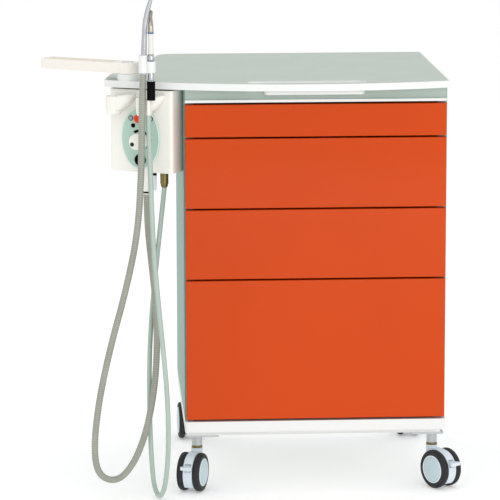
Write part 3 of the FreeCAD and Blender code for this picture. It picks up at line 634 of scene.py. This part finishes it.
def bore_cutter(name, placing):
    """A hidden cylinder that keeps a wing out of its cup's bore."""
    profile = ((0, BORE_LOW), (BORE_RADIUS, BORE_LOW), (BORE_RADIUS, BORE_HIGH), (0, BORE_HIGH))
    cutter = lathe(f"{name}_bore", profile, "unit_plastic", placing)
    cutter.hide_render = True
    cutter.hide_viewport = True
    cutter.hide_set(True)
    return cutter


# Heights of the panel's and the knob's middles, and the place of the panel's face.
PANEL_Z = 697.5
KNOB_Z = 692.5
PANEL_FACE = -3.05
# Place on the panel, radius and material of the ring round each control.
CONTROL_RINGS = {
    "start_ring": (-3, 735.5, 8.8, "pale_rim"),
    "mode_ring": (-14.4, 721.5, 4.6, "pale_rim"),
    "lens_ring_left": (-19.4, 735.5, 4.3, "black_plastic"),
    "lens_ring_right": (22, 735.5, 4.3, "black_plastic"),
    "lens_ring_low": (22, 695, 4.3, "pale_rim")}
JACK_Z = 656
JACK_COLLAR = (
    (8.9, 5.2), (10.9, 5.4), (11.2, 5.9), (10.6, 6.6), (9.4, 7.4), (8.7, 7.4), (8.7, 5.2))
# Place under the unit, top, radius and material of each hose fitting's collar.
FITTING_COLLARS = {
    "relief_ring": (1.6, 20, 592, 6.5, "black_plastic"),
    "fitting_collar": (31.9, 35.4, 612, 8.0, "brass"),
    "plug_collar": (14.5, 28, 628, 4.6, "black_plastic")}


def arc_mark(name, start, end, inner, outer_start, outer_end, material):
    """A flat tapering arc on the panel, around the knob."""
    built = bmesh.new()
    steps = 40
    pairs = []
    for step in range(steps + 1):
        share = step / steps
        angle = math.radians(start + (end - start) * share)
        outer = outer_start + (outer_end - outer_start) * share
        across, up = math.cos(angle), math.sin(angle)
        pairs.append([
            built.verts.new((radius * across, PANEL_FACE, KNOB_Z + radius * up))
            for radius in (inner, outer)])
    for low, high in zip(pairs, pairs[1:]):
        built.faces.new((low[0], low[1], high[1], high[0]))
    mark = finish_mesh(name, built, material, UNIT)
    thick = mark.modifiers.new("thickness", "SOLIDIFY")
    thick.thickness = 0.15 * MM
    thick.offset = 1
    return mark


def dress_panel():
    """The panel's bead, its printed scale, and the rings around its controls."""
    pieces = [
        ellipse_tube("panel_rim", 39.2, 58.4, 1.1, -2.6, PANEL_Z, "pale_rim"),
        arc_mark("speed_scale", 128, -50, 17.4, 22.6, 18.6, "black_plastic")]
    for name, (x, z, radius, material) in CONTROL_RINGS.items():
        bead = ((radius, 2.9), (radius + 0.9, 2.9), (radius + 0.7, 3.6), (radius, 3.8))
        placing = UNIT @ Matrix.Translation((x, 0, z)) @ FACING
        pieces.append(lathe(name, bead, material, placing, closed=True))
    placing = UNIT @ Matrix.Translation((0, 0, JACK_Z)) @ FACING
    pieces.append(lathe("jack_collar", JACK_COLLAR, "dark_green", placing, closed=True))
    for piece in pieces:
        dress_piece(piece, "cart", "mint_plastic")


def dress_fittings():
    """Collars on the hose fittings and the plug under the unit."""
    for name, (x, y, top, radius, material) in FITTING_COLLARS.items():
        bead = ((radius - 2.4, top - 5), (radius - 0.2, top - 5), (radius, top - 4.4),
                (radius, top - 0.6), (radius - 0.2, top), (radius - 2.4, top))
        placing = UNIT @ Matrix.Translation((x, y, 0))
        ring = lathe(name, bead, material, placing, 72, closed=True)
        dress_piece(ring, "cart", "nickel_brass")


# Handle slot ------------------------------------------------------------------

SKIRT_LOW, SKIRT_HIGH = 783.4, 793.2
# Left, right, front and back of the skirt's outside, and its corners' radius.
SKIRT = (151, 341, -18, 6.5, 9)
SKIRT_WALL = 2


def skirt_outline(inset, level):
    """The skirt's level outline with round corners, moved in by an inset."""
    left, right, front, back, corner = SKIRT
    radius = corner - inset
    steps = 8
    points = []
    for x, y, start in ((right - corner, back - corner, 0), (left + corner, back - corner, 90),
                        (left + corner, front + corner, 180),
                        (right - corner, front + corner, 270)):
        for step in range(steps + 1):
            turn = math.radians(start + 90 * step / steps)
            points.append((x + radius * math.cos(turn), y + radius * math.sin(turn), level))
    return points


def dress_handle():
    """The white skirt that hangs from the handle slot below the worktop."""
    outer = [skirt_outline(0, level) for level in (SKIRT_LOW, SKIRT_HIGH)]
    inner = [skirt_outline(SKIRT_WALL, level) for level in (SKIRT_HIGH, SKIRT_LOW)]
    skirt = loft("handle_skirt", outer + inner + outer[:1], "white_laminate", CABINET,
                 capped=False)
    dress_piece(skirt, "cart", "white_laminate")


# Hoses ------------------------------------------------------------------------

# Control points of each hose's curve, from its instrument to the motor unit.
CANNULA_HOSE_ROUTE = (
    (-78.288, -22, 826.002), (-80.8, -22, 764), (-83, -22, 640), (-91, -22, 521),
    (-115, -21, 410), (-143, -20, 310), (-164, -19, 218), (-174.5, -18, 148),
    (-177.5, -18, 102), (-174.5, -16.5, 66), (-162, -10.5, 43.5), (-140, 1, 34.5),
    (-118.5, 12, 43), (-94.5, 15, 79), (-73, 17, 141), (-57, 18, 235), (-54, 21, 350),
    (-64.5, 29, 458), (-71.5, 42, 528), (-71.96, 47.02, 586.3))
MOTOR_HOSE_ROUTE = (
    (-68.5, -22, 747.3), (-68.5, -22.5, 712), (-66.5, -24, 655), (-64.5, -26, 587),
    (-62, -29, 503), (-55.5, -33, 415), (-47.5, -37, 328), (-38.5, -41, 229),
    (-35.5, -44, 144), (-37.5, -45.5, 80), (-43, -43, 34), (-49, -30, 12.5),
    (-55, -10, 5.4), (-60.5, 11, 12), (-64.5, 23, 31), (-67.5, 28, 75), (-70, 31, 150),
    (-70.5, 34, 245), (-66, 37, 340), (-56, 41, 440), (-44, 46, 545),
    (-38.04, 46.97, 599.3))


# Radii of the hose's smooth skin, of the ridge's path round it, and of the ridge itself.
BEIGE_RADIUS = 6.3
RIDGE_REACH = 6.2
RIDGE_RADIUS = 0.5
RIDGE_PITCH = 3.4
MINT_RADIUS = 4.75


def in_row(points):
    """The points in metres, in the row frame."""
    return [CABINET @ Vector(point) for point in points]


def hose_curve(name, points, radius, material):
    """A round hose on a quadratic curve that takes the route's points as its controls."""
    data = bpy.data.curves.new(name, "CURVE")
    data.dimensions = "3D"
    data.bevel_depth = radius * MM
    data.bevel_resolution = 5
    data.resolution_u = 32
    data.use_fill_caps = True
    spline = data.splines.new("NURBS")
    spline.points.add(len(points) - 1)
    for control, point in zip(spline.points, in_row(points)):
        control.co = (*point, 1)
    spline.order_u = 3
    spline.use_endpoint_u = True
    data.materials.append(MATERIALS[material])
    return put_in_scene(name, data)


def centreline(points):
    """Points read from the hose's own spline, drawn with no bevel."""
    bare = hose_curve("bare_route", points, 0, "hose_beige")
    mesh = bpy.data.meshes.new_from_object(bare)
    line = [vertex.co.copy() for vertex in mesh.vertices]
    bpy.data.objects.remove(bare)
    bpy.data.meshes.remove(mesh)
    return line


def evenly(line, spacing):
    """The same line with points at an even spacing."""
    spaced = [line[0]]
    carried = 0.0
    for start, end in zip(line, line[1:]):
        length = (end - start).length
        while carried + length >= spacing:
            share = (spacing - carried) / length
            start = start.lerp(end, share)
            spaced.append(start)
            length = (end - start).length
            carried = 0.0
        carried += length
    return spaced


def spiral_ridge(name, points, material):
    """A fine wire that winds round a hose, so that it reads as corrugated."""
    turn_steps = 12
    line = evenly(centreline(points), RIDGE_PITCH * MM / turn_steps)
    side = Vector((1, 0, 0))
    data = bpy.data.curves.new(name, "CURVE")
    data.dimensions = "3D"
    data.bevel_depth = RIDGE_RADIUS * MM
    data.bevel_resolution = 1
    spline = data.splines.new("POLY")
    spline.points.add(len(line) - 3)
    for index in range(1, len(line) - 1):
        ahead = (line[index + 1] - line[index - 1]).normalized()
        side = (side - ahead * side.dot(ahead)).normalized()
        other = ahead.cross(side)
        angle = 2 * math.pi * index / turn_steps
        offset = (side * math.cos(angle) + other * math.sin(angle)) * (RIDGE_REACH * MM)
        spline.points[index - 1].co = (*(line[index] + offset), 1)
    data.materials.append(MATERIALS[material])
    return put_in_scene(name, data)


def curve_length(points):
    """A hose's length, from the points read from its spline."""
    line = centreline(points)
    return sum((end - start).length for start, end in zip(line, line[1:]))


def dress_hoses():
    """Both hoses, which stand for their CAD solids, and the spiral round the thicker one."""
    beige = hose_curve("corrugated_hose_tube", CANNULA_HOSE_ROUTE, BEIGE_RADIUS, "hose_beige")
    ridge = spiral_ridge("corrugated_hose_ridge", CANNULA_HOSE_ROUTE, "hose_ridge")
    mint = hose_curve("motor_hose_tube", MOTOR_HOSE_ROUTE, MINT_RADIUS, "hose_mint")
    dress_piece(beige, "cart", "hose_beige", "corrugated_hose")
    dress_piece(ridge, "cart", "hose_beige")
    dress_piece(mint, "cart", "hose_mint", "motor_hose")
    curve_length(CANNULA_HOSE_ROUTE)
    curve_length(MOTOR_HOSE_ROUTE)


# Instruments ------------------------------------------------------------------

# The foot of the motor's ring, and the turned bands on the motor from there.
MOTOR = CABINET @ Matrix.Translation((-63.5, -22, 828.3))
MOTOR_BANDS = {
    "motor_lower_sleeve": (
        ((5.0, -14), (6.3, -14), (6.3, -12.5), (6.05, -12), (6.05, -1), (5.9, -0.4),
         (5.0, -0.4)), "chrome"),
    "motor_coupling": (
        ((5.3, 22.4), (6.4, 22.4), (6.45, 26), (6.1, 30), (5.95, 34.3), (5.3, 34.4)),
        "chrome"),
    "motor_top_ring": (
        ((6.5, -15.4), (8.1, -15.4), (8.15, -14.6), (7.6, -14.1), (6.5, -14.05)),
        "caster_plastic")}


def dress_motor():
    """Bands on the black motor: its coupling above and below the ring, and its top."""
    for name, (profile, material) in MOTOR_BANDS.items():
        band = lathe(name, profile, material, MOTOR, closed=True)
        dress_piece(band, "cart", "chrome_plate")


# Stage ------------------------------------------------------------------------

# Place, target, size in metres and power in watts of each soft light.
LIGHTS = {
    "key light": ((-1.8, -3.6, 3.2), (0, 0, 0.5), (1.6, 2.2), 12),
    "front light": ((1.0, -4.6, 1.4), (0, 0, 0.5), (1.8, 1.4), 36),
    "fill light": ((2.8, -3.2, 1.6), (0, 0, 0.45), (1.6, 2.2), 10),
    "top light": ((0, 0.2, 3.6), (0, 0, 0.4), (2.6, 2.6), 14)}
WORLD_STRENGTH = 0.84
FLOOR_HALF = 30
FLOOR_LEVEL = -0.0004


def area_light(name, place, target, size, power):
    """A rectangular light that faces its target."""
    data = bpy.data.lights.new(name, "AREA")
    data.shape = "RECTANGLE"
    data.size, data.size_y = size
    data.energy = power
    item = put_in_scene(name, data)
    item.location = place
    item.rotation_euler = (Vector(target) - Vector(place)).to_track_quat("-Z", "Y").to_euler()


def light_world(strength):
    """An even white light from all round."""
    world = bpy.data.worlds.new("studio")
    world.use_nodes = True
    background = world.node_tree.nodes["Background"]
    background.inputs["Color"].default_value = (1, 1, 1, 1)
    background.inputs["Strength"].default_value = strength
    bpy.context.scene.world = world


def studio():
    """A pale floor, soft lights and a plain view transform."""
    built = bmesh.new()
    bmesh.ops.create_grid(built, x_segments=1, y_segments=1, size=FLOOR_HALF)
    placing = Matrix.Translation((0, 0, FLOOR_LEVEL))
    finish_mesh("floor", built, "floor_paint", placing)
    light_world(WORLD_STRENGTH)
    for name, settings in LIGHTS.items():
        area_light(name, *settings)
    bpy.context.scene.view_settings.view_transform = "Standard"


# The camera's place, its angles in radians and its focal length in millimetres.
CAMERA_PLACE = (-184.07, -5647.8, 1465.4)
CAMERA_YAW, CAMERA_PITCH, CAMERA_ROLL = 0.0544, 0.1718, -0.0023
CAMERA_LENS = 216.34


def camera():
    """A long lens at eye height, turned a little to the right and down."""
    level = math.cos(CAMERA_PITCH)
    ahead = Vector((math.sin(CAMERA_YAW) * level, math.cos(CAMERA_YAW) * level,
                    -math.sin(CAMERA_PITCH)))
    right = Vector((math.cos(CAMERA_YAW), -math.sin(CAMERA_YAW), 0))
    up = right.cross(ahead)
    rolled_right = right * math.cos(CAMERA_ROLL) + up * math.sin(CAMERA_ROLL)
    rolled_up = up * math.cos(CAMERA_ROLL) - right * math.sin(CAMERA_ROLL)
    data = bpy.data.cameras.new("camera")
    data.lens = CAMERA_LENS
    data.clip_end = 100
    item = put_in_scene("camera", data)
    axes = Matrix((rolled_right, rolled_up, -ahead)).transposed().to_4x4()
    item.matrix_world = Matrix.Translation(CABINET @ Vector(CAMERA_PLACE)) @ axes
    bpy.context.scene.camera = item


def build():
    dress_cad()
    for name in CASTERS:
        dress_wheels(name)
        dress_stem_ring(name)
    dress_cradle("cradle_left", -47, 38)
    dress_cradle("cradle_right", 17, 35)
    dress_handle()
    dress_panel()
    dress_fittings()
    dress_motor()
    dress_hoses()
    studio()
    camera()


build()
